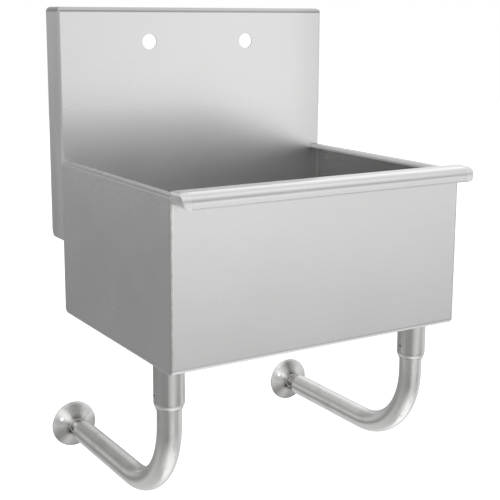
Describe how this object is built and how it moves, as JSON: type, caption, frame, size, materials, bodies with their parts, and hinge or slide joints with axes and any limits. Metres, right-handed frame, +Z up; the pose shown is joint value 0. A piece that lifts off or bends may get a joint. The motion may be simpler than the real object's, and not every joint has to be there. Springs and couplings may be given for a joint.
{
  "type": "mop service sink",
  "caption": "Wall-hung mop service sink in stainless sheet: tall backsplash, deep bowl with front roll, drain and strainer, on adjustable bent-tube wall brackets.",
  "frame": {"origin": "centre of the wall rail's back face, on its line of screw holes", "axes": "+Z up, +Y back into the wall, +X to the right seen from the front"},
  "size_m": [0.576, 0.505, 0.822],
  "materials": {
    "stainless": "brushed",
    "stainless_tube": "satin, drawn lengthwise",
    "polished": "polished",
    "galvanised": "zinc plated",
    "zinc": "die cast",
    "rubber": "matt",
    "fibre": "matt",
    "nylon": "matt"
  },
  "bodies": {
    "wall_rail": {"wall_rail": "galvanised"},
    "basin": {"backsplash": "stainless", "bowl_trough": "stainless", "left_end_panel": "stainless", "right_end_panel": "stainless", "left_roll_cap": "stainless", "right_roll_cap": "stainless", "left_leg_socket": "stainless_tube", "right_leg_socket": "stainless_tube", "socket_set_screws": "galvanised", "drain_body": "polished", "drain_seal": "rubber", "drain_gasket": "rubber", "drain_washer": "fibre", "drain_locknut": "zinc"},
    "left_bracket": {"left_bracket_tube": "stainless_tube", "left_tube_plug": "nylon"},
    "right_bracket": {"right_bracket_tube": "stainless_tube", "right_tube_plug": "nylon"},
    "left_foot": {"left_flange_neck": "stainless_tube", "left_wall_flange": "polished"},
    "right_foot": {"right_flange_neck": "stainless_tube", "right_wall_flange": "polished"},
    "strainer": {"strainer_basket": "polished", "strainer_knob": "polished"}
  },
  "joints": [
    {"name": "basin_unhook", "type": "slide", "parent": "wall_rail", "child": "basin", "axis": [0, 0, 1], "range_m": [0, 0.02]},
    {"name": "left_bracket_height", "type": "slide", "parent": "basin", "child": "left_bracket", "axis": [0, 0, 1], "range_m": [-0.025, 0.012]},
    {"name": "right_bracket_height", "type": "slide", "parent": "basin", "child": "right_bracket", "axis": [0, 0, 1], "range_m": [-0.025, 0.012]},
    {"name": "left_foot_reach", "type": "slide", "parent": "left_bracket", "child": "left_foot", "axis": [0, 1, 0], "range_m": [-0.012, 0.02]},
    {"name": "right_foot_reach", "type": "slide", "parent": "right_bracket", "child": "right_foot", "axis": [0, 1, 0], "range_m": [-0.012, 0.02]},
    {"name": "strainer_lift", "type": "slide", "parent": "basin", "child": "strainer", "axis": [0, 0, 1], "range_m": [0, 0.33]}
  ]
}
